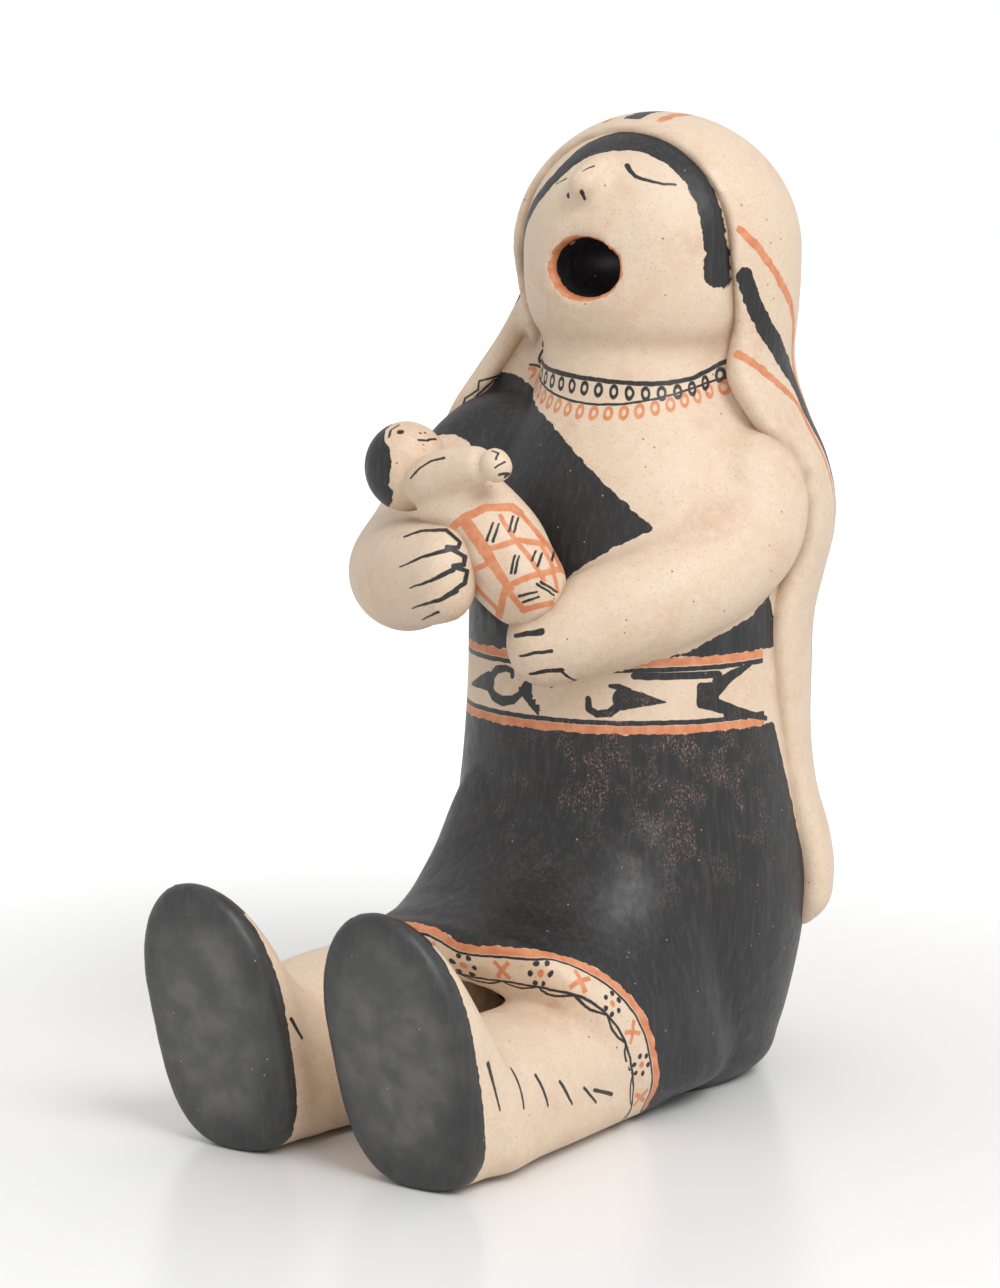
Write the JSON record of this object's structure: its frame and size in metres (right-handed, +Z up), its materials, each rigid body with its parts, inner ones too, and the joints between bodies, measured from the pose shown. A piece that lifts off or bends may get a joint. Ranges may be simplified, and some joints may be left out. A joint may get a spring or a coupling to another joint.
{
  "type": "pottery figure",
  "caption": "Seated pottery figure of a singing mother in a long shawl, legs stretched out in front, holding a baby in a blanket against her chest.",
  "frame": {"origin": "middle of the figure's footprint box, on the surface that it sits on", "axes": "+Z up, the figure faces -Y with its soles foremost, its left hand is at +X"},
  "size_m": [0.0883, 0.1474, 0.1996],
  "materials": {
    "painted_clay": "stone-polished cream slip with matte black and orange-red painted designs"
  },
  "bodies": {
    "root": {"pottery_figure": "painted_clay"}
  },
  "joints": []
}
